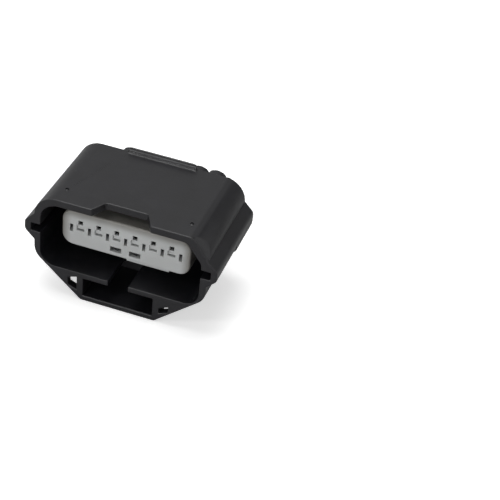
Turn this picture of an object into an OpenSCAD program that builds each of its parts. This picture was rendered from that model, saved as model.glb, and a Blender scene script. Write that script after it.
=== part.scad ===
// Sealed six-way automotive wire connector, socket half.
// A black moulded housing carries a hood, a terminal block and six wire-seal towers. A pale front
// holder caps the block and backs up the terminal lances, a ribbed packing seals the block against
// the hood of the mating half, and a rocking lever under the hood locks the two halves together.
// Frame: +Y runs from the mating face into the connector, +Z is up, away from the lock.
// The origin is the middle of the terminal block in the plane of the mating face.

/* [Terminals] */
// Distance from one terminal axis to the next
pitch = 4; // [3.9:0.05:4.6]
// Height of the terminal axes over the middle of the block
terminal_z = 1.8; // [1.7:0.05:1.85]
// Width of a terminal's contact box
box_w = 1.6; // [1.3:0.05:1.7]
// Height of a terminal's contact box
box_h = 1.9; // [1.6:0.05:1.95]
// Thickness of the terminal strip
strip = 0.25; // [0.15:0.05:0.3]
// Length of a terminal's contact box
box_length = 6.5; // [6:0.25:7.5]
// Gap round the contact box in its cavity
cavity_clear = 0.1; // [0.05:0.05:0.15]

/* [Terminal block] */
// Block beyond the outer terminal axes, at each side
block_side = 3.25; // [3:0.05:4]
// Height of the block
block_h = 6.9; // [6.8:0.1:7.6]
// Corner radius of the block
block_r = 1.6; // [1:0.1:2.2]
// Shoulder behind the packing, over the block's surface
shoulder = 1; // [0.6:0.1:1.3]
// Length of the shoulder behind the packing
shoulder_length = 1.8; // [1:0.1:2.5]

/* [Front holder] */
// Depth of the holder's face behind the mating face
holder_recess = 3.35; // [2:0.05:4.5]
// Thickness of the holder's face
holder_face = 1.5; // [1:0.1:2]
// Thickness of the holder's skirt
holder_wall = 0.75; // [0.5:0.05:0.9]
// Length of the skirt behind the face
holder_skirt = 7.6; // [6:0.2:8.4]
// Gap between the holder and the block
holder_clear = 0.1; // [0.05:0.05:0.2]
// Way the holder slides out to its pre-set position
holder_travel = 1.6; // [1:0.1:2]
// Width of a contact pin's entry hole
entry_w = 0.86; // [0.7:0.02:1]
// Height of a contact pin's entry hole
entry_h = 0.98; // [0.8:0.02:1.1]

/* [Hood] */
// Depth of the hood from the mating face to its back
hood_depth = 23.2; // [22:0.2:26]
// Gap between holder and hood at the sides
channel_side = 3.35; // [3:0.05:4]
// Gap between holder and hood at the top
channel_top = 2.45; // [2:0.05:3]
// Gap between holder and hood at the lock side
channel_lock = 4.15; // [4.1:0.05:4.6]
// Thickness of the hood's side walls
side_wall = 1.4; // [1:0.1:1.8]
// Thickness of the hood's top wall
top_wall = 1.7; // [1.2:0.1:2]
// Thickness of the hood's back wall
back_wall = 2; // [1.5:0.1:2.5]
// Outer radius of the hood's upper corner at -X
hood_r = 5; // [4:0.1:5.5]
// Radius of the upper corner inside the hood, at -X
inner_r = 4; // [3:0.1:4.5]
// Width of the slant that keys the hood's upper corner at +X
slant_w = 3.5; // [2.5:0.1:4]
// Height of that slant
slant_h = 5; // [4:0.1:5.5]
// Radius of the lower corners inside the hood
lower_r = 3.2; // [2.5:0.1:3.6]
// Reach of the side ears over the side walls
ear_reach = 2.15; // [1.8:0.05:2.6]
// Height of the key slots in the ears
key_h = 1.9; // [1.4:0.1:2.4]
// Depth of the key slots, along the connector
key_depth = 19; // [14:0.5:20]

/* [Lock side] */
// Thickness of the two floor ledges that the lock hook reaches between
ledge = 1.3; // [0.9:0.1:1.6]
// Width of the gap between the floor ledges
ledge_gap = 4.4; // [4.2:0.1:5]
// Height of the lock chamber under the ledges
chamber_h = 4.45; // [4.2:0.05:5]
// Width of the lock chamber
chamber_w = 15.5; // [14.5:0.1:16.5]
// Thickness of the chamber's side ribs
rib = 1.45; // [1:0.05:1.8]
// Thickness of the chamber's floor
floor_wall = 1.25; // [1:0.05:1.6]
// Length of the chamber's floor, behind which the lever's pad lies open
floor_length = 14; // [12:0.5:15]
// Width of the flat underside
base_w = 16.6; // [15:0.1:18]
// Thickness of the flange round the mating face
flange = 1.8; // [1.2:0.1:2.4]

/* [Lock lever] */
// Width of the lever's arm
lever_w = 6.6; // [5:0.1:7.4]
// Thickness of the lever's arm
lever_t = 1.6; // [1.3:0.1:1.9]
// Width of the lever's hook
hook_w = 3.6; // [2.6:0.1:3.8]
// Width of the lever's finger pad
pad_w = 13.2; // [9:0.2:14]
// Distance from the mating face to the lever's rocking axis
pivot_y = 16.5; // [16:0.25:17.5]
// Way the lever's pad sticks out behind the hood
pad_reach = 1.4; // [0:0.1:2.5]
// Radius of the lever's torsion bars
bar_r = 0.75; // [0.6:0.05:0.8]

/* [Seals] */
// Length of the wire-seal towers behind the hood
tower_length = 7.8; // [6:0.1:10]
// Outer radius of a wire-seal tower
tower_r = 2.3; // [2.15:0.05:2.6]
// Radius of the bore that a wire seal sits in
bore_r = 1.65; // [1.5:0.05:1.75]
// Length of a wire seal's ribbed body
seal_length = 5.2; // [4:0.2:6]
// Radius of the wire hole through a wire seal
wire_r = 0.7; // [0.5:0.05:0.8]
// Length of the packing round the block
packing_length = 5; // [4:0.1:5.2]
// Thickness of the packing between its lips
packing_t = 0.8; // [0.6:0.05:1]
// Height of the packing's lips
lip = 0.45; // [0.25:0.05:0.55]

/* [Hidden] */
$fn = 48;

positions = 6;
cut = 1;              // how far a cut runs past the face it opens
seal_bore_lead = 4.2; // how far the seal bores start before the hood's back
touch = 0.05;         // gap between faces that touch on the real part
black = "#2b2b2e";
pale = "#c9cac6";
green = "#4d6652";
tin = "#b9b7ae";

// Half-widths, from the middle outwards
row_half = (positions - 1) * pitch / 2;
block_half = row_half + block_side;
holder_half = block_half + holder_clear + holder_wall;
hood_in = holder_half + channel_side;
hood_out = hood_in + side_wall;
ear_out = hood_out + ear_reach;
chamber_half = chamber_w / 2;
guard_half = chamber_half + rib;

// Heights, from the middle outwards
holder_top = block_h / 2 + holder_clear + holder_wall;
cavity_top = holder_top + channel_top;
hood_top = cavity_top + top_wall;
ledge_top = -holder_top - channel_lock;
ledge_under = ledge_top - ledge;
chamber_floor = ledge_under - chamber_h;
base_z = chamber_floor - floor_wall;

// Depths behind the mating face
block_front = holder_recess + holder_face + touch;
cavity_depth = hood_depth - back_wall;
shoulder_front = cavity_depth - shoulder_length;
skirt_end = holder_recess + holder_face + holder_skirt;
bore_start = hood_depth - seal_bore_lead;
tower_end = hood_depth + tower_length;
box_front = block_front + 0.4;
box_end = box_front + box_length;

// Lock lever's rocking axis, and the seats of its bars in the chamber's side ribs
lever_gap = 0.4;      // over the arm, under the ledges
arm_top = ledge_under - lever_gap;
pivot_z = arm_top - lever_t / 2;
bar_seat = 0.8;
bar_end_gap = 0.1;
gap_end = pivot_y - 1.5;

// Slope of the flange's lower sides, and their rounded shoulders
bevel_angle = 41;
bevel_r = 4;
base_r = 0.8;
bevel_top = base_z + (hood_out - base_w / 2) * tan(bevel_angle);

function row_x(i) = (i - (positions + 1) / 2) * pitch;
function unit(v) = v / norm(v);
function half_angle(a, b, c) = acos(unit(a - b) * unit(c - b)) / 2;
function arc_centre(a, b, c, r) =
    b + unit(unit(a - b) + unit(c - b)) * r / sin(half_angle(a, b, c));
function tangent_points(a, b, c, r) =
    let (reach = r / tan(half_angle(a, b, c)))
    [b + unit(a - b) * reach, b + unit(c - b) * reach];

// A convex outline whose corners are true arcs of the given radii
module rounded_outline(points, radii) {
    n = len(points);
    polygon([
        for (i = [0:n - 1])
        each tangent_points(points[(i + n - 1) % n], points[i], points[(i + 1) % n], radii[i])
    ]);
    for (i = [0:n - 1])
        translate(arc_centre(points[(i + n - 1) % n], points[i], points[(i + 1) % n], radii[i]))
            circle(r = radii[i]);
}

module rounded_slab(half_w, low, high, r) {
    rounded_outline(
        [[-half_w, low], [half_w, low], [half_w, high], [-half_w, high]], [r, r, r, r]);
}

// Extrudes an outline drawn in X and Z from y0 to y1
module along_y(y0, y1) {
    translate([0, y1, 0]) rotate([90, 0, 0]) linear_extrude(y1 - y0) children();
}

// Extrudes an outline drawn in Y and Z by half the width to each side of the middle
module across_x(width) {
    translate([-width / 2, 0, 0]) rotate([90, 0, 90]) linear_extrude(width) children();
}

module span(low, high) {
    translate(low) cube(high - low);
}

module both_sides() {
    children();
    mirror([1, 0, 0]) children();
}

/* ---- Housing ---- */

// The hood without its ears: the flange's outline down to the floor that the ledges are part of
module hood_outline() {
    intersection() {
        flange_outline();
        translate([-hood_out, ledge_under]) square([2 * hood_out, hood_top - ledge_under]);
    }
}

slant_r = 2;          // of both ends of the key slant
slant_less_w = 0.25;  // how much smaller the slant is inside the hood
slant_less_h = 0.65;
module cavity_outline() {
    rounded_outline(
        [
            [-hood_in, ledge_top], [hood_in, ledge_top],
            [hood_in, cavity_top - slant_h + slant_less_h], [hood_in - slant_w + slant_less_w, cavity_top],
            [-hood_in, cavity_top]
        ],
        [lower_r, lower_r, slant_r, slant_r, inner_r]);
}

// One side ear: a round nose that slopes into the side wall above and below it
ear_nose_r = 1.6;
ear_nose_top = 1.35;  // corners of the nose, before they are rounded
ear_nose_low = -0.85;
ear_root_top = 4.2;   // where the slopes run into the side wall
ear_root_low = -3.65;
ear_root_r = 0.3;
module ear_outline(drop) {
    root_x = hood_out - side_wall / 2;
    rounded_outline(
        [
            [root_x, ear_root_top], [ear_out, ear_nose_top],
            [ear_out, ear_nose_low - drop], [root_x, ear_root_low - drop]
        ],
        [ear_root_r, ear_nose_r, ear_nose_r, ear_root_r]);
}

ear_step_y = 13;      // behind here the ears hang lower
ear_drop = 0.9;
module ears() {
    both_sides() {
        along_y(0, hood_depth) ear_outline(0);
        along_y(ear_step_y, hood_depth) ear_outline(ear_drop);
    }
}

module flange_outline() {
    rounded_outline(
        [
            [-base_w / 2, base_z], [base_w / 2, base_z], [hood_out, bevel_top],
            [hood_out, hood_top - slant_h], [hood_out - slant_w, hood_top],
            [-hood_out, hood_top], [-hood_out, bevel_top]
        ],
        [base_r, base_r, bevel_r, slant_r, slant_r, hood_r, bevel_r]);
}

// The box under the hood that shields the lock lever
module lock_guard() {
    intersection() {
        along_y(0, hood_depth) flange_outline();
        union() {
            both_sides()
                span([chamber_half, 0, base_z - cut], [guard_half, hood_depth, ledge_under + ledge / 2]);
            span([-guard_half, 0, base_z - cut], [guard_half, floor_length, chamber_floor]);
        }
    }
}

// Flared notch in the top wall at the mating face
notch_depth = 3.5;
notch_mouth = 12.6;
notch_width = 8.9;
notch_r = 0.9;
module top_notch() {
    translate([0, 0, holder_top + 1])
        linear_extrude(hood_top - holder_top)
            rounded_outline(
                [
                    [-notch_mouth / 2 - 0.6, -cut - 0.1], [notch_mouth / 2 + 0.6, -cut - 0.1],
                    [notch_width / 2, notch_depth], [-notch_width / 2, notch_depth]
                ],
                [0.05, 0.05, notch_r, notch_r]);
}

// Thumb ridge on the back edge of the top wall, with a hollow cove along its front
ridge_w = 15.6;
ridge_h = 1.15;
ridge_top = 0.5;      // flat on top of the ridge, along the connector
ridge_foot = 1.65;
ridge_cove = 1.15;
ridge_cove_drop = 0.1; // middle of the cove under the ridge's top
ridge_end_r = 0.9;
module thumb_ridge() {
    intersection() {
        across_x(ridge_w)
            difference() {
                translate([hood_depth - ridge_foot, hood_top - top_wall / 2])
                    square([ridge_foot, ridge_h + top_wall / 2]);
                translate([hood_depth - ridge_top - ridge_cove, hood_top + ridge_h - ridge_cove_drop])
                    circle(r = ridge_cove);
            }
        along_y(hood_depth - ridge_foot - cut, hood_depth + cut)
            rounded_slab(ridge_w / 2, hood_top - 2 * top_wall, hood_top + ridge_h, ridge_end_r);
    }
}

// The pair of small through holes in the flange beside the chamber: a tall one at -X, a low one at +X.
// Heights are over the underside, first beside the rib and then at the hole's outer end.
side_hole_w = 2;
side_hole_low = [2.4, 3.2];
side_hole_high = [[5.7, 5.05], [3.75, 4.55]];
module side_holes() {
    inner = guard_half;
    outer = guard_half + side_hole_w;
    for (i = [0:1]) {
        side = 2 * i - 1;
        along_y(-cut, flange + cut)
            polygon([
                [side * inner, base_z + side_hole_high[i][0]], [side * outer, base_z + side_hole_high[i][1]],
                [side * outer, base_z + side_hole_low[1]], [side * inner, base_z + side_hole_low[0]]
            ]);
    }
}

cavity_w = box_w + 2 * cavity_clear;
cavity_h = box_h + 2 * cavity_clear;
cavity_under = terminal_z - cavity_h / 2;
lance_pocket = 1.65;      // depth of the pocket under a cavity, where its lance bends
lance_w = 1.2;
lance_t = 0.5;
lance_root = box_end + 0.8;
lance_tip = box_front + 2.4;
lance_hook = 0.45;        // how far a lance reaches into its terminal's window

module terminal_cavities() {
    for (i = [1:positions]) translate([row_x(i), 0, 0]) {
        span([-cavity_w / 2, block_front - cut, cavity_under],
             [cavity_w / 2, bore_start + cut, cavity_under + cavity_h]);
        span([-cavity_w / 2, block_front - cut, cavity_under - lance_pocket],
             [cavity_w / 2, lance_root, cavity_under + 0.1]);
        translate([0, bore_start, terminal_z])
            rotate([-90, 0, 0]) cylinder(r = bore_r, h = tower_end - bore_start + cut);
        translate([0, tower_end - 0.5, terminal_z])
            rotate([-90, 0, 0]) cylinder(r1 = bore_r, r2 = bore_r + 0.3, h = 0.51);
    }
}

// Springy fingers in the block: each hooks into the window of one terminal
module lances() {
    top = cavity_under - cavity_clear;
    for (i = [1:positions]) translate([row_x(i), 0, 0])
        across_x(lance_w)
            polygon([
                [lance_root + 0.3, top - lance_t], [lance_root + 0.3, top],
                [lance_tip + 1.1, top], [lance_tip + 0.25, top + lance_hook], [lance_tip, top + lance_hook],
                [lance_tip, top - lance_t]
            ]);
}

// Nibs on the block that the holder's two windows snap over
nib_x = 2.1;
nib_z = -2.6;
nib_reach = 0.9;
module holder_nibs() {
    for (x = [-nib_x, nib_x])
        translate([x, 0, nib_z])
            along_y(block_front - nib_reach, block_front + cut)
                polygon([[-0.6, -0.45], [0.5, -0.45], [1.05, 0.45], [-1.05, 0.45]]);
}

module seal_towers() {
    boss_length = 1.6;
    boss_side = 0.55;
    web_h = 2.4;
    along_y(cavity_depth, hood_depth + boss_length)
        rounded_slab(row_half + tower_r + boss_side, terminal_z - tower_r - boss_side,
            terminal_z + tower_r + boss_side, tower_r);
    for (i = [1:positions])
        translate([row_x(i), cavity_depth, terminal_z])
            rotate([-90, 0, 0]) cylinder(r = tower_r, h = tower_end - cavity_depth);
    span([-row_half, cavity_depth, terminal_z - web_h / 2], [row_half, tower_end - 0.4, terminal_z + web_h / 2]);
}

// Small pips that the ejector pins leave on the top wall
pip_x = 13.5;
pip_y = 4.2;
module pips() {
    both_sides()
        translate([pip_x, pip_y, hood_top - 0.3]) cylinder(r = 0.35, h = 0.42);
}

module housing() {
    color(black) {
        difference() {
            union() {
                along_y(0, hood_depth) hood_outline();
                ears();
                along_y(0, flange) flange_outline();
                lock_guard();
                thumb_ridge();
                seal_towers();
                pips();
            }
            // hood cavity, left open round the block
            difference() {
                along_y(-cut, cavity_depth) cavity_outline();
                along_y(block_front, cavity_depth + cut)
                    rounded_slab(block_half, -block_h / 2, block_h / 2, block_r);
                along_y(shoulder_front, cavity_depth + cut)
                    rounded_slab(block_half + shoulder, -block_h / 2 - shoulder, block_h / 2 + shoulder,
                        block_r + shoulder);
            }
            // gap between the floor ledges, round at its closed end
            span([-ledge_gap / 2, -cut, ledge_under - cut], [ledge_gap / 2, gap_end, ledge_top + cut]);
            // mouth of the lock chamber, through the flange
            span([-chamber_half, -cut, chamber_floor], [chamber_half, flange + cut, ledge_under]);
            // seats for the ends of the lever's torsion bars
            translate([-chamber_half - bar_seat, pivot_y, pivot_z])
                rotate([0, 90, 0]) cylinder(r = bar_r + touch, h = chamber_w + 2 * bar_seat);
            both_sides()
                span([hood_in - cut, -cut, -key_h / 2 + 0.1], [ear_out - 1.4, key_depth, key_h / 2 + 0.1]);
            top_notch();
            side_holes();
            terminal_cavities();
        }
        lances();
        holder_nibs();
    }
}

/* ---- Front holder ---- */

entry_over = 0.33;        // top of a pin entry over the terminal's axis
recess_w = 1.7;           // shallow panel under each pin entry
recess_h = 1.43;
recess_depth = 0.35;
pocket_w = 1.5;           // pocket behind each pin entry, open to the terminal
pocket_front = 0.8;
pocket_low = 0.5;         // how far the pocket reaches past the entry, below and above
pocket_high = 0.2;
slit_h = 0.3;
slit_w = 1.4;
key_slot_w = 0.55;        // upright slots between the positions
key_slot_h = 1.85;
window_w = 2.5;
window_h = 1.25;
tongue_w = 1.2;
tongue_t = 0.5;
tongue_length = 5.5;
entry_top = terminal_z + entry_over;
entry_low = entry_top - entry_h;
recess_low = entry_low - recess_h;

module holder_face_cuts() {
    back = holder_recess + holder_face + touch;
    for (i = [1:positions]) translate([row_x(i), 0, 0]) {
        span([-entry_w / 2, holder_recess - cut, entry_low], [entry_w / 2, back, entry_top]);
        span([-recess_w / 2, holder_recess - cut, recess_low],
             [recess_w / 2, holder_recess + recess_depth, entry_low]);
        span([-pocket_w / 2, holder_recess + pocket_front, entry_low - pocket_low],
             [pocket_w / 2, back, entry_top + pocket_high]);
        span([-slit_w / 2, holder_recess - cut, recess_low], [slit_w / 2, back, recess_low + slit_h]);
    }
    for (i = [0:positions]) translate([row_x(i + 0.5), 0, 0])
        span([-key_slot_w / 2, holder_recess - cut, -key_slot_h / 2],
             [key_slot_w / 2, back, key_slot_h / 2]);
    for (x = [-nib_x, nib_x])
        span([x - window_w / 2, holder_recess - cut, nib_z - window_h / 2],
             [x + window_w / 2, back, nib_z + window_h / 2]);
}

// Rib under the holder that keys it into the hood one way round
foot_rib_from = 0.3;
foot_rib_to = 9.6;
foot_rib_h = 0.38;

module front_holder() {
    inner_r = block_r + holder_clear;
    tongue_top = recess_low - touch;
    color(pale) {
        difference() {
            union() {
                along_y(holder_recess, skirt_end)
                    rounded_slab(holder_half, -holder_top, holder_top, inner_r + holder_wall);
                span([foot_rib_from, holder_recess + 0.3, -holder_top - foot_rib_h],
                     [foot_rib_to, skirt_end, -holder_top + holder_wall / 2]);
            }
            along_y(holder_recess + holder_face, skirt_end + cut)
                rounded_slab(block_half + holder_clear, -block_h / 2 - holder_clear,
                    block_h / 2 + holder_clear, inner_r);
            holder_face_cuts();
        }
        for (i = [1:positions]) translate([row_x(i), 0, 0])
            span([-tongue_w / 2, holder_recess + holder_face - 0.3, tongue_top - tongue_t],
                 [tongue_w / 2, holder_recess + holder_face + tongue_length, tongue_top]);
    }
}

/* ---- Lock lever ---- */

arm_under = arm_top - lever_t;
hook_reach = 6.7;     // from the rocking axis to the lever's front
hook_length = 2.2;
hook_foot = 0.4;      // upright foot of the hook's lead-in ramp
hook_ramp = 1.3;      // run of the ramp
hook_front = pivot_y - hook_reach;
hook_top = ledge_top - 0.15;
sink = 0.3;           // how far joined pieces run into each other
pad_drop = 1.85;      // from the arm's top to the pad's
pad_t = 1.4;
pad_length = 5.1;
pad_top = arm_top - pad_drop;
pad_under = pad_top - pad_t;
pad_front = hood_depth + pad_reach - pad_length;
pad_r = 1.2;
pad_round = 0.5;
knee = 1;             // from the rocking axis back to where the arm steps down
pad_end = hood_depth + pad_reach;
grip_h = 0.45;
grip_w = 0.55;
grip_gap = 1.15;

module lock_lever() {
    color(black) {
        // arm, stepping down behind the rocking axis
        across_x(lever_w)
            polygon([
                [hook_front, arm_under], [hook_front, arm_top], [pivot_y + knee, arm_top],
                [pad_front, pad_top], [pad_end - pad_round, pad_top],
                [pad_end - pad_round, pad_under], [pad_front - knee, pad_under],
                [pivot_y + 0.8 * knee, arm_under]
            ]);
        // hook with a lead-in ramp at its front and a square catch at its back
        across_x(hook_w)
            polygon([
                [hook_front, arm_top - sink], [hook_front, arm_top + hook_foot],
                [hook_front + hook_ramp, hook_top], [hook_front + hook_length, hook_top],
                [hook_front + hook_length, arm_top - sink]
            ]);
        // torsion bars whose ends sit in the chamber's side ribs
        translate([-chamber_half - bar_seat + bar_end_gap, pivot_y, pivot_z])
            rotate([0, 90, 0]) cylinder(r = bar_r, h = chamber_w + 2 * (bar_seat - bar_end_gap));
        // finger pad with cross grips underneath
        translate([0, 0, pad_under])
            linear_extrude(pad_top - pad_under)
                rounded_outline(
                    [[-pad_w / 2, pad_front], [pad_w / 2, pad_front], [pad_w / 2, pad_end], [-pad_w / 2, pad_end]],
                    [pad_round, pad_round, pad_r, pad_r]);
        for (y = [pad_front + pad_round:grip_gap:pad_end - grip_w - sink])
            span([-pad_w / 2 + pad_r, y, pad_under - grip_h], [pad_w / 2 - pad_r, y + grip_w, pad_under + sink]);
    }
}

/* ---- Packing and wire seals ---- */

packing_end = shoulder_front - touch;
packing_front = packing_end - packing_length;

module packing_slice(y0, y1, grow) {
    along_y(y0, y1)
        rounded_slab(block_half + grow, -block_h / 2 - grow, block_h / 2 + grow, block_r + grow);
}

module packing_ring() {
    lips = 3;
    lip_w = 0.9;
    gap = (packing_length - lips * lip_w) / (lips - 1);
    color(green) difference() {
        union() {
            packing_slice(packing_front, packing_end, packing_t);
            for (i = [0:lips - 1])
                packing_slice(packing_front + i * (lip_w + gap), packing_front + i * (lip_w + gap) + lip_w,
                    packing_t + lip);
        }
        packing_slice(packing_front - cut, packing_end + cut, touch);
    }
}

neck_r = 1;
neck_length = 2.2;
seal_front = bore_start + 3;

// A ring with a hole, revolved about the wire: a neck, then a body with three lips
module wire_seal(i) {
    lip_r = bore_r - touch / 2;
    waist_r = bore_r - 0.3;
    step = seal_length / 6;
    color(green) translate([row_x(i), seal_front, terminal_z]) rotate([-90, 0, 0])
        difference() {
            union() {
                translate([0, 0, -neck_length]) cylinder(r = neck_r, h = neck_length + 0.2);
                cylinder(r = waist_r, h = seal_length);
                for (k = [0:2]) translate([0, 0, (2 * k + 0.5) * step])
                    cylinder(r = lip_r, h = step);
            }
            translate([0, 0, -neck_length - cut]) cylinder(r = wire_r, h = neck_length + seal_length + 2 * cut);
        }
}

/* ---- Terminals ---- */

crimp_start = box_end + 1.3;
crimp_end = crimp_start + 2.8;
grip_start = seal_front - neck_length + 0.1;
grip_end = seal_front - 0.1;
grip_low = terminal_z - neck_r - touch - strip;
strip_inset = 0.1;    // strip narrower than the contact box, at each side
wing_gap = 1.1;       // between the tips of the wings round the seal's neck

module terminal(i) {
    low = terminal_z - box_h / 2;
    window = [lance_tip - 0.25, lance_tip + 1.6];
    spring_top = terminal_z + 0.1;
    color(tin) translate([row_x(i), 0, 0]) {
        // contact box, folded round, with a window for the lance
        difference() {
            span([-box_w / 2, box_front, low], [box_w / 2, box_end, low + box_h]);
            span([-box_w / 2 + strip, box_front - cut, low + strip],
                 [box_w / 2 - strip, box_end + cut, low + box_h - strip]);
            span([-lance_w / 2 - 0.08, window[0], low - cut], [lance_w / 2 + 0.08, window[1], low + strip + 0.1]);
        }
        // contact spring, bent up from the box floor behind the window
        across_x(box_w - 2 * strip - 0.2)
            polygon([
                [window[1] + 0.3, low + strip / 2], [box_end, low + strip / 2], [box_end, low + strip],
                [box_front + 1.6, spring_top], [box_front + 0.7, spring_top - 0.35],
                [box_front + 0.7, spring_top - 0.35 - strip], [box_front + 1.6, spring_top - strip]
            ]);
        // floor strip from the box back to the crimps, with a step down under the seal's neck
        across_x(box_w - 2 * strip_inset)
            polygon([
                [box_end - strip_inset, low], [box_end - strip_inset, low + strip],
                [bore_start + touch, low + strip], [grip_start, grip_low + strip],
                [grip_start + strip, grip_low + strip], [grip_start + strip, grip_low],
                [grip_start, grip_low], [bore_start + touch, low]
            ]);
        // open wings of the conductor crimp
        crimp_wings(crimp_start, crimp_end, low, (box_w - strip_inset) / 2, box_h - strip - strip_inset);
        // wings that curl round the neck of the wire seal
        difference() {
            translate([0, grip_start, terminal_z])
                rotate([-90, 0, 0]) cylinder(r = neck_r + touch + strip, h = grip_end - grip_start);
            translate([0, grip_start - cut, terminal_z])
                rotate([-90, 0, 0]) cylinder(r = neck_r + touch, h = grip_end - grip_start + 2 * cut);
            span([-wing_gap / 2, grip_start - cut, terminal_z],
                 [wing_gap / 2, grip_end + cut, terminal_z + neck_r + strip + cut]);
        }
    }
}

module crimp_wings(y0, y1, low, half_w, height) {
    difference() {
        span([-half_w, y0, low], [half_w, y1, low + height]);
        span([-half_w + strip, y0 - cut, low + strip], [half_w - strip, y1 + cut, low + height + cut]);
    }
}

housing();
front_holder();
lock_lever();
packing_ring();
for (i = [1:positions]) {
    terminal(i);
    wire_seal(i);
}
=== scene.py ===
# %% [markdown]
# # A sealed wire connector, socket half
# The connector is four mouldings, six wire seals and six terminals. The construction is already
# there as solids in real size. What is left for Blender is what moulding and stamping do to such
# solids: moulded edges get a small radius, and every surface gets the grain of its tool.

# %% Load the construction
import math

import bmesh
import bpy
from mathutils import Matrix, Vector


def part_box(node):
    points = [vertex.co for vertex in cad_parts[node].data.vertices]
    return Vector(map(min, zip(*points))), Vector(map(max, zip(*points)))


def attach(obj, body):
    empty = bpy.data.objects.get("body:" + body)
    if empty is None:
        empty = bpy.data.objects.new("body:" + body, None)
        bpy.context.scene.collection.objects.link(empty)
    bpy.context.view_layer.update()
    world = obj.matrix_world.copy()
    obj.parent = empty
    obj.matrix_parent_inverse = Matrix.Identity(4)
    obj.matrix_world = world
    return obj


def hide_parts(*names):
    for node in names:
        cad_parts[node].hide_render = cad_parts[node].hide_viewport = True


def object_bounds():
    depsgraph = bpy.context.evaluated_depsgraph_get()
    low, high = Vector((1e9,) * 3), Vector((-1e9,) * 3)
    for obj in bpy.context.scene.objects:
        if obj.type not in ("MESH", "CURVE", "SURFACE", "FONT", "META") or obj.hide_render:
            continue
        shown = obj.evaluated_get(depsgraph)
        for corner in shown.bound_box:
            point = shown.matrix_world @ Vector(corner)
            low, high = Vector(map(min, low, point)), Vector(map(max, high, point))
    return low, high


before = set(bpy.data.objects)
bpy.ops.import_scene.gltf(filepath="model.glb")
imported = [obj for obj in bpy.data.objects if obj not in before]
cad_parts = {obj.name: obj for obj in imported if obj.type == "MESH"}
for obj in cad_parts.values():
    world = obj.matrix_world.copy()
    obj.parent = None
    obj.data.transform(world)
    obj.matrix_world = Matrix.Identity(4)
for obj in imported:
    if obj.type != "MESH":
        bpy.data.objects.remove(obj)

cad_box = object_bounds()
MM = 0.001
print("nodes:", len(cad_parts))
print("box in mm:", [[round(v / MM, 2) for v in corner] for corner in cad_box])

# %% [markdown]
# ## Camera first
# The eye stands a little to the right of the connector and looks down at 37 degrees, with the camera
# turned a little about its own axis. The four vectors below are the camera's place and its axes.
# A long lens keeps the hood's edges nearly parallel, so the part reads as a drawing does.

# %% Camera
eye = Vector((76.07, -197.45, 163.07)) * MM
right = Vector((0.94533, 0.31112, 0.09775))
up = Vector((-0.26320, 0.55092, 0.79197))
back = right.cross(up)
lens = 94.74

camera = bpy.data.objects.new("camera", bpy.data.cameras.new("camera"))
bpy.context.scene.collection.objects.link(camera)
camera.matrix_world = Matrix.Translation(eye) @ Matrix((right, up, back)).transposed().to_4x4()
camera.data.lens = lens
camera.data.sensor_width = 36
camera.data.clip_start, camera.data.clip_end = 0.01, 10
bpy.context.scene.camera = camera
print("lens:", lens, "mm, distance:", round(eye.length / MM), "mm")

# %% [markdown]
# ## Two small helpers for materials
# Colours are written as sRGB hex values, as a colour chart gives them, and turned to the linear
# values that the shader works in. One function adds a node, with its settings and its links.

# %% Colour and node helpers
def srgb(code):
    """The linear red, green, blue and alpha of a colour such as #1b1b1f"""
    parts = [int(code[i:i + 2], 16) / 255 for i in (1, 3, 5)]
    linear = [p / 12.92 if p <= 0.04045 else ((p + 0.055) / 1.055) ** 2.4 for p in parts]
    return (*linear, 1.0)


def add(tree, kind, links=None, **settings):
    """Add a node. A setting goes to the socket of its name, or else to the node's own property"""
    node = tree.nodes.new(kind)
    for key, value in settings.items():
        socket = key if key in node.inputs else key.replace("_", " ")
        if socket in node.inputs:
            node.inputs[socket].default_value = value
        else:
            setattr(node, key, value)
    for socket, source in (links or {}).items():
        tree.links.new(source, node.inputs[socket])
    return node


def new_material(name):
    material = bpy.data.materials.new(name)
    material.use_nodes = True
    material.node_tree.nodes.clear()
    return material, material.node_tree


# %% [markdown]
# ## Black moulded housing
# The housing is glass-filled polyester, PBT-GF, moulded in a spark-eroded steel tool. The tool
# leaves a grain of about a tenth of a millimetre, and the glass near the surface makes it look
# slightly cloudy. So there are three patterns: a fine bump for the grain, a slow change of colour,
# some millimetres wide, for the flow of the plastic, and dull marks such as handling leaves.

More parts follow.
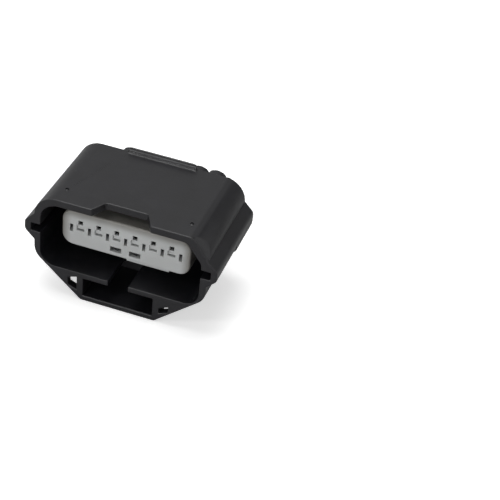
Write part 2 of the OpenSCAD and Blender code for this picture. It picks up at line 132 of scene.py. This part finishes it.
# %% Glass-filled PBT
def moulded_black(name, colour, pale_colour, roughness):
    material, tree = new_material(name)
    place = add(tree, "ShaderNodeTexCoord").outputs["Object"]
    # grain: 0.35 mm, coarser than the real 0.1 mm, which is too fine to be seen
    grain = add(tree, "ShaderNodeTexNoise", {"Vector": place},
                Scale=1 / (0.35 * MM), Detail=3.0, Roughness=0.6)
    flow = add(tree, "ShaderNodeTexNoise", {"Vector": place}, Scale=1 / (7 * MM), Detail=2.0, Roughness=0.5)
    cloud = add(tree, "ShaderNodeMapRange", {"Value": flow.outputs["Fac"]}, From_Min=0.3, From_Max=0.7)
    tone = add(tree, "ShaderNodeMix", {"Factor": cloud.outputs["Result"]}, data_type="RGBA")
    tone.inputs[6].default_value = srgb(colour)
    tone.inputs[7].default_value = srgb(pale_colour)
    # handling marks: 3 mm smudges with ragged edges, a little duller than the skin around them
    smudge = add(tree, "ShaderNodeTexNoise", {"Vector": place},
                 Scale=1 / (3 * MM), Detail=6.0, Roughness=0.65)
    dull = add(tree, "ShaderNodeMapRange", {"Value": smudge.outputs["Fac"]},
               From_Min=0.52, From_Max=0.68, To_Max=0.09)
    fine = add(tree, "ShaderNodeMapRange", {"Value": grain.outputs["Fac"]},
               To_Min=roughness - 0.07, To_Max=roughness + 0.07)
    rough = add(tree, "ShaderNodeMath", {0: fine.outputs["Result"], 1: dull.outputs["Result"]},
                operation="ADD")
    bump = add(tree, "ShaderNodeBump", {"Height": grain.outputs["Fac"]}, Strength=0.25, Distance=0.02 * MM)
    shader = add(tree, "ShaderNodeBsdfPrincipled",
                 {"Base Color": tone.outputs[2], "Roughness": rough.outputs["Value"],
                  "Normal": bump.outputs["Normal"]},
                 IOR=1.54)
    add(tree, "ShaderNodeOutputMaterial", {"Surface": shader.outputs["BSDF"]})
    return material


pbt_black = moulded_black("glass-filled PBT, black", "#151518", "#1b1b1f", 0.36)
print("made", pbt_black.name)

# %% [markdown]
# ## Pale moulded holder
# The holder is the same plastic without its black pigment. Unpigmented PBT is milky: light goes up
# to a millimetre in and comes out again, which softens the small slots in its face. Its
# top and its ends stand in the deep shade of the hood. Plain, even lamps don't reach that shade, so
# the colour helps: it turns greyer towards the rim there. It is a painter's way, and it stays when
# the light changes. It needs a distance which is nought on most of the face, and grows evenly to
# the rounded rim at the top and at both ends.

# %% Natural PBT
face_arc = Vector((11.65, 1.85))   # where the arcs of the face's corners have their middle, in mm
face_arc_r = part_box("front_holder")[1].z / MM - face_arc.y
print("radius of the holder's corners:", round(face_arc_r, 2))


def milky_plastic(name):
    material, tree = new_material(name)
    place = add(tree, "ShaderNodeTexCoord").outputs["Object"]
    grain = add(tree, "ShaderNodeTexNoise", {"Vector": place}, Scale=1 / (0.5 * MM), Detail=2.0)
    flow = add(tree, "ShaderNodeTexNoise", {"Vector": place}, Scale=1 / (5 * MM), Detail=1.0)
    tone = add(tree, "ShaderNodeMix", {"Factor": flow.outputs["Fac"]}, data_type="RGBA")
    tone.inputs[6].default_value = srgb("#b7b9b8")
    tone.inputs[7].default_value = srgb("#c1c3c3")
    # the greater of x and -x makes both ends alike, and z keeps its sign, so the low side stays pale
    mirrored = add(tree, "ShaderNodeVectorMath", {0: place}, operation="MULTIPLY")
    mirrored.inputs[1].default_value = (-1, 1, 1)
    size = add(tree, "ShaderNodeVectorMath", {0: place, 1: mirrored.outputs[0]}, operation="MAXIMUM")
    past = add(tree, "ShaderNodeVectorMath", {0: size.outputs[0]}, operation="SUBTRACT")
    past.inputs[1].default_value = (face_arc.x * MM, 1.0, face_arc.y * MM)
    outside = add(tree, "ShaderNodeVectorMath", {0: past.outputs[0]}, operation="MAXIMUM")
    reach = add(tree, "ShaderNodeVectorMath", {0: outside.outputs[0]}, operation="LENGTH")
    shaded = add(tree, "ShaderNodeMapRange", {"Value": reach.outputs["Value"]},
                 interpolation_type="SMOOTHSTEP",
                 From_Min=(face_arc_r - 2.2) * MM, From_Max=(face_arc_r + 0.1) * MM)
    # painted shade: the milky tone turns to the grey #82807b towards the rim at the top and at both ends
    skin = add(tree, "ShaderNodeMix", {"Factor": shaded.outputs["Result"]}, data_type="RGBA")
    tree.links.new(tone.outputs[2], skin.inputs[6])
    skin.inputs[7].default_value = srgb("#82807b")
    rough = add(tree, "ShaderNodeMapRange", {"Value": grain.outputs["Fac"]}, To_Min=0.38, To_Max=0.5)
    bump = add(tree, "ShaderNodeBump", {"Height": grain.outputs["Fac"]}, Strength=0.12, Distance=0.02 * MM)
    shader = add(tree, "ShaderNodeBsdfPrincipled",
                 {"Base Color": skin.outputs[2], "Roughness": rough.outputs["Result"],
                  "Normal": bump.outputs["Normal"]},
                 IOR=1.54)
    shader.inputs["Subsurface Weight"].default_value = 0.35
    shader.inputs["Subsurface Scale"].default_value = 1.0 * MM
    shader.inputs["Subsurface Radius"].default_value = (1.0, 0.96, 0.92)
    add(tree, "ShaderNodeOutputMaterial", {"Surface": shader.outputs["BSDF"]})
    return material


pbt_natural = milky_plastic("natural PBT, milky")
print("made", pbt_natural.name)

# %% [markdown]
# ## Silicone seals
# Seals are self-lubricating silicone, here pigmented a dull green. The oil that sweats out leaves a soft
# shine, which a coat with a rough surface gives.

# %% Oiled silicone
def silicone(name):
    material, tree = new_material(name)
    place = add(tree, "ShaderNodeTexCoord").outputs["Object"]
    dust = add(tree, "ShaderNodeTexNoise", {"Vector": place}, Scale=1 / (0.8 * MM), Detail=4.0)
    tone = add(tree, "ShaderNodeMix", {"Factor": dust.outputs["Fac"]}, data_type="RGBA")
    tone.inputs[6].default_value = srgb("#2f4236")
    tone.inputs[7].default_value = srgb("#3d5244")
    rough = add(tree, "ShaderNodeMapRange", {"Value": dust.outputs["Fac"]}, To_Min=0.45, To_Max=0.65)
    shader = add(tree, "ShaderNodeBsdfPrincipled",
                 {"Base Color": tone.outputs[2], "Roughness": rough.outputs["Result"]}, IOR=1.42)
    shader.inputs["Coat Weight"].default_value = 0.3
    shader.inputs["Coat Roughness"].default_value = 0.35
    add(tree, "ShaderNodeOutputMaterial", {"Surface": shader.outputs["BSDF"]})
    return material


silicone_green = silicone("silicone, oiled, green")
print("made", silicone_green.name)

# %% [markdown]
# ## Tinned terminals
# Terminals are stamped from bronze strip that was tin-plated on the roll. Rolling leaves fine lines
# along the strip, so the pattern is stretched along the terminal, and tin has a soft grey shine.
# The lines are drawn 0.12 mm apart, coarser than real ones.

# %% Tin-plated bronze
def tinned(name):
    material, tree = new_material(name)
    place = add(tree, "ShaderNodeTexCoord").outputs["Object"]
    stretched = add(tree, "ShaderNodeMapping", {"Vector": place}, Scale=(1.0, 0.08, 1.0))
    lines = add(tree, "ShaderNodeTexNoise", {"Vector": stretched.outputs["Vector"]},
                Scale=1 / (0.12 * MM), Detail=2.0)
    tone = add(tree, "ShaderNodeMix", {"Factor": lines.outputs["Fac"]}, data_type="RGBA")
    tone.inputs[6].default_value = srgb("#b9b6ae")
    tone.inputs[7].default_value = srgb("#cdcbc4")
    rough = add(tree, "ShaderNodeMapRange", {"Value": lines.outputs["Fac"]}, To_Min=0.25, To_Max=0.42)
    shader = add(tree, "ShaderNodeBsdfPrincipled",
                 {"Base Color": tone.outputs[2], "Roughness": rough.outputs["Result"]}, Metallic=1.0)
    add(tree, "ShaderNodeOutputMaterial", {"Surface": shader.outputs["BSDF"]})
    return material


tin = tinned("tin-plated bronze strip")
print("made", tin.name)

# %% [markdown]
# ## Edges with a radius
# No moulding has a sharp edge, and the thin bright line that an edge radius catches is most of what
# the eye reads on a black part. Each piece starts as a copy of its solid. The solid's loose
# triangles are merged into flat faces, and then the edges that really are edges are picked by the
# angle between their faces and by their place, and bevelled. The work is done in millimetres, and
# the finished mesh goes back to metres, because merging and bevelling lose their footing on numbers
# as small as a tenth of a millimetre in metres.

# %% Copy a solid
same_place = 0.002                # points closer than this, in mm, are one
same_plane = math.radians(0.6)    # faces that turn less than this are one


def merge_flat():
    """Merge doubled points and the loose triangles of flat faces"""
    bpy.ops.mesh.select_all(action="SELECT")
    bpy.ops.mesh.remove_doubles(threshold=same_place)
    bpy.ops.mesh.dissolve_limited(angle_limit=same_plane)


def start_copy(node, name):
    """A copy of a node's solid, in millimetres, with flat faces, left in edit mode"""
    if bpy.context.mode != "OBJECT":
        bpy.ops.object.mode_set(mode="OBJECT")
    bpy.ops.object.select_all(action="DESELECT")
    piece = bpy.data.objects.new(name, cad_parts[node].data.copy())
    bpy.context.scene.collection.objects.link(piece)
    bpy.context.view_layer.objects.active = piece
    piece.select_set(True)
    piece.data.transform(Matrix.Scale(1 / MM, 4))
    bpy.ops.object.mode_set(mode="EDIT")
    bpy.ops.mesh.select_all(action="SELECT")
    bpy.ops.mesh.customdata_custom_splitnormals_clear()
    merge_flat()
    return piece


print("solids to copy:", len(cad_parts))

# %% Bevel chosen edges
least_turn = math.radians(32)     # an edge that turns less than this is part of a round face


def every_edge(middle, edge):
    return True


def bevel_edges(piece, width, chosen, steps=2):
    """Round the edges for which chosen(middle, edge) holds, and leave the piece in edit mode"""
    mesh = bmesh.from_edit_mesh(piece.data)
    bpy.ops.mesh.select_all(action="DESELECT")
    bpy.context.tool_settings.mesh_select_mode = (False, True, False)
    count = 0
    for edge in mesh.edges:
        if len(edge.link_faces) != 2 or edge.calc_face_angle(0) < least_turn:
            continue
        ends = [v.co for v in edge.verts]
        if chosen((ends[0] + ends[1]) / 2, edge):
            edge.select_set(True)
            count += 1
    bmesh.update_edit_mesh(piece.data)
    if count:
        bpy.ops.mesh.bevel(offset=width, segments=steps, affect="EDGES", clamp_overlap=False)
    print(piece.name, "edges bevelled:", count)


# %% [markdown]
# ## Finishing a piece
# Each piece goes back to metres, gets its smooth shading and its material, and is tied to the body
# that it moves with, and the solid that it stands for is hidden. Large flat faces keep their own
# direction and the small bevels take up the turn, which the weighted normals see to.

# %% Finish a piece
sharp_turn = math.radians(38)     # shading breaks at an edge that turns more than this


def finish_piece(piece, body, node, material):
    bpy.ops.object.mode_set(mode="OBJECT")
    piece.data.transform(Matrix.Scale(MM, 4))
    bpy.ops.object.shade_smooth_by_angle(angle=sharp_turn)
    flats = piece.modifiers.new("flats", "WEIGHTED_NORMAL")
    flats.mode, flats.weight, flats.keep_sharp = "FACE_AREA", 100, True
    bpy.ops.object.modifier_apply(modifier=flats.name)
    piece.data.materials.clear()
    piece.data.materials.append(material)
    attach(piece, body)
    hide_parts(node)
    print(piece.name, len(piece.data.polygons), "faces")


# %% [markdown]
# ## The shoulder behind the slanted rim
# At the mating face one upper corner of the hood is cut slantwise, as a key. Right behind the rim
# the wall swells out to the same round corner as the other side has. The swelling starts as a rod
# laid along that corner. Three bisecting planes cut it: two leave only the quarter that stands
# in the corner, and one, which leans back from the slant, takes off its front end.

# %% Shoulder
# all in mm
hood_r = 5.0
hood_side, hood_top, hood_back = 18.85, 8.45, 23.2
slant_low = Vector((hood_side, 0, 3.45))
slant_high = Vector((hood_side - 3.5, 0, hood_top))
swell_start, swell_end = 0.6, 2.6
rod_root = Vector((2.6, 0, 1.2))   # from the rod's axis to the corner inside the wall
sink = 0.01                        # keeps the rod's faces just under the wall's own
slant_sink = 0.12                  # and its front end under the slant


def cut_away(point, normal):
    """Cut what is selected with a plane, and clear away the side that the normal points to"""
    bpy.ops.mesh.select_all(action="SELECT")
    bpy.ops.mesh.bisect(plane_co=point, plane_no=normal, use_fill=True, clear_outer=True)


def shoulder_rod():
    """The quarter rod that fills out the corner, with its front end leaning back"""
    r, end = hood_r - sink, hood_back - sink
    axis = Vector((hood_side - hood_r, 0, hood_top - hood_r))
    bpy.ops.object.select_all(action="DESELECT")
    bpy.ops.mesh.primitive_cylinder_add(vertices=80, radius=r, depth=end - swell_start,
                                        location=axis + Vector((0, (swell_start + end) / 2, 0)),
                                        rotation=(math.radians(90), 0, 0))
    bpy.ops.object.transform_apply(location=True, rotation=True, scale=True)
    bpy.ops.object.mode_set(mode="EDIT")
    for tip, side in ((Vector((r, 0, 0)), -1), (Vector((0, 0, r)), 1)):
        line = tip - rod_root
        cut_away(axis + rod_root, Vector((-side * line.z, 0, side * line.x)))
    # the leaning plane: under the slant where the swelling starts, out at the rod where it ends
    line = (slant_high - slant_low).normalized()
    outward = Vector((line.z, 0, -line.x))
    rise = r - (slant_low - axis).dot(outward)
    lean = (rise + slant_sink) / (swell_end - swell_start)
    start = slant_low + Vector((0, swell_start, 0)) - slant_sink * outward
    cut_away(start, outward - Vector((0, lean, 0)))
    bpy.ops.mesh.select_all(action="SELECT")
    bpy.ops.mesh.normals_make_consistent(inside=False)
    bpy.ops.object.mode_set(mode="OBJECT")
    print("shoulder stands out", round(rise, 2), "mm past the slant")
    return bpy.context.active_object


# %% [markdown]
# ## Housing
# The housing is one moulding, so the shoulder is melted into its wall with a boolean union before
# any edge is rounded.

# %% Housing with its shoulder
housing = start_copy("housing", "housing_moulding")
bpy.ops.object.mode_set(mode="OBJECT")
shoulder = shoulder_rod()
bpy.ops.object.select_all(action="DESELECT")
housing.select_set(True)
bpy.context.view_layer.objects.active = housing
union = housing.modifiers.new("shoulder", "BOOLEAN")
union.operation, union.solver, union.object = "UNION", "EXACT", shoulder
bpy.ops.object.modifier_apply(modifier=union.name)
bpy.data.objects.remove(shoulder)
bpy.ops.object.mode_set(mode="EDIT")
merge_flat()

# %% [markdown]
# ## Nibs behind the two small windows
# Two nibs of the housing stand in the windows of the holder's face. They come up until they are
# almost level with the face, lean back at their foot, and their low corners draw in, so that the
# windows' pale corners show beside them.

# %% Nibs
nib_front = 4.0                    # where the solid's nibs end
nib_top_y, nib_foot_y = 3.55, 3.9
nib_middle, nib_reach = 2.1, 1.2   # x of a nib's middle, and how far its corners are from it
nib_foot, nib_half_way, nib_top = -3.2, -2.6, -2.0
nib_draw_in = 0.15

mesh = bmesh.from_edit_mesh(housing.data)
nib_corners = [v for v in mesh.verts
               if abs(v.co.y - nib_front) < 0.02 and nib_foot < v.co.z < nib_top
               and abs(abs(v.co.x) - nib_middle) < nib_reach]
for v in nib_corners:
    at_foot = v.co.z < nib_half_way
    v.co.y = nib_foot_y if at_foot else nib_top_y
    if at_foot:
        v.co.x += math.copysign(nib_draw_in, math.copysign(nib_middle, v.co.x) - v.co.x)
bmesh.update_edit_mesh(housing.data)
print("nib corners:", len(nib_corners))

# %% [markdown]
# ## The housing's edges
# Its rims and outer edges have a radius of about a quarter of a millimetre. Two kinds of edges keep
# their sharp corners. The small cavities of the block and the bores are hidden, and where short
# edges meet at a step or a root, a bevel would fold over itself.

# %% The housing's edges
far = 99.0
sharp_places = {   # the lowest and the highest corner of a box, in mm
    "cavities of the block": ((-14.8, 3.8, -4.9), (14.8, 21, 4.9)),
    "bores of the wire seals": ((-far, 18, -0.25), (far, far, 3.85)),
    "step of the ear at +X": ((18.7, 12.4, -far), (far, 13.6, far)),
    "step of the ear at -X": ((-far, 12.4, -far), (-18.7, 13.6, far)),
    "rear root of the ear at -X": ((-far, 23.1, 2.8), (-18.5, far, 4.7)),
    "front end of the shoulder": ((15, 0.1, 3.3), (far, 3, far)),
    "rear end of the shoulder": ((14.5, 23.1, 1.2), (far, far, far)),
}


def on_outside(middle, edge):
    return not any(all(low[k] < middle[k] < high[k] for k in range(3))
                   for low, high in sharp_places.values())


bevel_edges(housing, 0.22, on_outside)
finish_piece(housing, "connector", "housing", pbt_black)

# %% [markdown]
# ## Front holder
# The holder is a cap over the terminal block. Its pin entries and upright slots are opened a little
# from the solid, because so small an opening reads pale when it is drawn at its own size. The slots
# widen inwards at three sides, and their floors rise and catch the light.

# %% Openings of the holder
pin_pitch = 4.0
entries = [pin_pitch * i - 10 for i in range(6)]    # x of the pin entries
slots = [pin_pitch * i - 12 for i in range(7)]      # x of the upright slots
entry_half, slot_half = 0.43, 0.275                 # half their widths in the solid


def off_middle(v, middles):
    """How far a point is from the nearest of the middles, along x"""
    return v.co.x - min(middles, key=lambda m: abs(v.co.x - m))


holder = start_copy("front_holder", "holder_moulding")
mesh = bmesh.from_edit_mesh(holder.data)
for v in mesh.verts:
    x = off_middle(v, entries)
    if abs(abs(x) - entry_half) < 0.01 and v.co.y < 4.3 and 1 < v.co.z < 2.3:
        v.co.x += math.copysign(0.09, x)
        v.co.z += 0.08 if v.co.z > 1.8 else -0.2
for v in mesh.verts:
    x = off_middle(v, slots)
    if abs(abs(x) - slot_half) < 0.01 and v.co.y < 5 and abs(v.co.z) < 1:
        deep = v.co.y > 4
        v.co.x += math.copysign(0.35 if deep else 0.07, x)
        v.co.z += 0.3 if deep else 0.0
bmesh.update_edit_mesh(holder.data)
print("openings:", len(entries), "entries,", len(slots), "slots")

# %% [markdown]
# ## The holder's rim
# The face is what the eye goes to, so its rim has the widest radius of all. Only the outline of the
# face is rounded: an edge of it lies far out along x or z, or on one of the corners' arcs.

# %% The holder's rim
face_y = 3.35
rim_x, rim_z, rim_r = 13.2, 4.2, 2.2    # the rim lies outside these, and the slots inside


def on_face_rim(p, edge):
    if abs(p.y - face_y) > 0.01:
        return False
    in_corner = abs(p.x) > face_arc.x and abs(p.z) > face_arc.y
    off_arc = (Vector((abs(p.x), abs(p.z))) - face_arc).length
    return abs(p.x) > rim_x or abs(p.z) > rim_z or in_corner and off_arc > rim_r


bevel_edges(holder, 0.45, on_face_rim, steps=3)
finish_piece(holder, "holder", "front_holder", pbt_natural)

# %% [markdown]
# ## Lock lever
# The lever lies under the hood on two torsion bars. It is small, so its radius is small as well,
# but every one of its edges has one. It is the same black plastic as the housing.

# %% Lock lever
lever = start_copy("lock_lever", "lever_moulding")
bevel_edges(lever, 0.12, every_edge)
finish_piece(lever, "lever", "lock_lever", pbt_black)

# %% [markdown]
# ## Packing ring
# Moulded silicone has no sharp edge at all. Three steps make the ring's lips fully round.

# %% Packing ring
packing = start_copy("packing_ring", "packing_lips")
bevel_edges(packing, 0.2, every_edge, steps=3)
finish_piece(packing, "connector", "packing_ring", silicone_green)

# %% [markdown]
# ## Wire seals and terminals
# Six seals and six terminals sit in a row. The seals get round lips as the packing has. The
# terminals are folded from thin strip, whose cut edges are sharp, so theirs stay as they are.

# %% Wire seals and terminals
for i in range(1, 7):
    seal = start_copy(f"wire_seal_{i}", f"wire_seal_lips_{i}")
    bevel_edges(seal, 0.14, every_edge, steps=3)
    finish_piece(seal, "connector", f"wire_seal_{i}", silicone_green)
    contact = start_copy(f"terminal_{i}", f"terminal_strip_{i}")
    finish_piece(contact, "connector", f"terminal_{i}", tin)

# %% [markdown]
# ## Floor
# A sheet of white paper. What the camera sees of it is bright white with the soft shadow under the
# part, so it glows a little, more with the distance from the part. To all other rays it is a plain
# grey sheet, so that the glow doesn't light the part from below.

# %% Floor
floor_z = cad_box[0].z
bpy.ops.object.select_all(action="DESELECT")
bpy.ops.mesh.primitive_plane_add(size=4, location=(0, 0, floor_z))
floor = bpy.context.active_object
floor.name = "floor"
material, tree = new_material("white paper sweep")
ray = add(tree, "ShaderNodeLightPath").outputs["Is Camera Ray"]
paper = add(tree, "ShaderNodeBsdfDiffuse", Color=srgb("#f4f4f4"))
shade = add(tree, "ShaderNodeBsdfDiffuse", Color=srgb("#b4b4b4"))
place = add(tree, "ShaderNodeTexCoord").outputs["Object"]
away = add(tree, "ShaderNodeVectorMath", {0: place}, operation="LENGTH")
level = add(tree, "ShaderNodeMapRange", {"Value": away.outputs["Value"]},
            From_Min=0.04, From_Max=0.16, To_Min=0.5, To_Max=1.0)
glow = add(tree, "ShaderNodeEmission", {"Strength": level.outputs["Result"]}, Color=(1, 1, 1, 1))
both = add(tree, "ShaderNodeAddShader")
tree.links.new(paper.outputs[0], both.inputs[0])
tree.links.new(glow.outputs[0], both.inputs[1])
mixed = add(tree, "ShaderNodeMixShader", {"Fac": ray})
tree.links.new(shade.outputs[0], mixed.inputs[1])
tree.links.new(both.outputs[0], mixed.inputs[2])
add(tree, "ShaderNodeOutputMaterial", {"Surface": mixed.outputs[0]})
floor.data.materials.append(material)
print("floor at z", round(floor_z / MM, 2), "mm")

# %% [markdown]
# ## Light
# A black part is drawn by what it mirrors. A large sheet high behind it and two at its sides make
# the soft bands on its round shoulders, one softbox from above lights its top, and a low, wide
# fill in front looks into the mouth. A small lamp draws the thin lines along the edges.

# %% Lights
block, mouth = (0, 0.01, 0), (0, 0, 0)    # what the lamps are aimed at, in metres


def softbox(name, place, aim, size, watts):
    light = bpy.data.lights.new(name, "AREA")
    light.shape = "RECTANGLE"
    light.size, light.size_y = size
    light.energy = watts
    lamp = bpy.data.objects.new(name, light)
    lamp.location = place
    lamp.rotation_euler = (Vector(aim) - Vector(place)).to_track_quat("-Z", "Y").to_euler()
    bpy.context.scene.collection.objects.link(lamp)


softbox("top softbox", (-0.08, 0.08, 0.55), block, (0.4, 0.3), 1.8)
softbox("back sheet", (-0.20, 0.52, 0.42), block, (0.9, 0.6), 0.43)
softbox("left sheet", (-0.60, 0.25, 0.12), block, (0.5, 0.3), 0.6)
softbox("right sheet", (0.55, 0.10, 0.25), block, (0.5, 0.4), 0.45)
softbox("front fill", (-0.12, -0.55, 0.06), mouth, (0.6, 0.2), 1.6)
softbox("edge lamp", (-0.16, -0.30, 0.39), mouth, (0.08, 0.08), 0.25)

# %% [markdown]
# ## World
# The world is white to the camera. To all else it is a dim, even light that fills the shadows.

# %% World
world = bpy.data.worlds.new("studio")
bpy.context.scene.world = world
world.use_nodes = True
tree = world.node_tree
tree.nodes.clear()
ray = add(tree, "ShaderNodeLightPath").outputs["Is Camera Ray"]
level = add(tree, "ShaderNodeMapRange", {"Value": ray}, To_Min=0.22, To_Max=1.0)
sky = add(tree, "ShaderNodeBackground", {"Strength": level.outputs["Result"]}, Color=(1, 1, 1, 1))
add(tree, "ShaderNodeOutputWorld", {"Surface": sky.outputs[0]})
bpy.context.scene.view_settings.view_transform = "Standard"
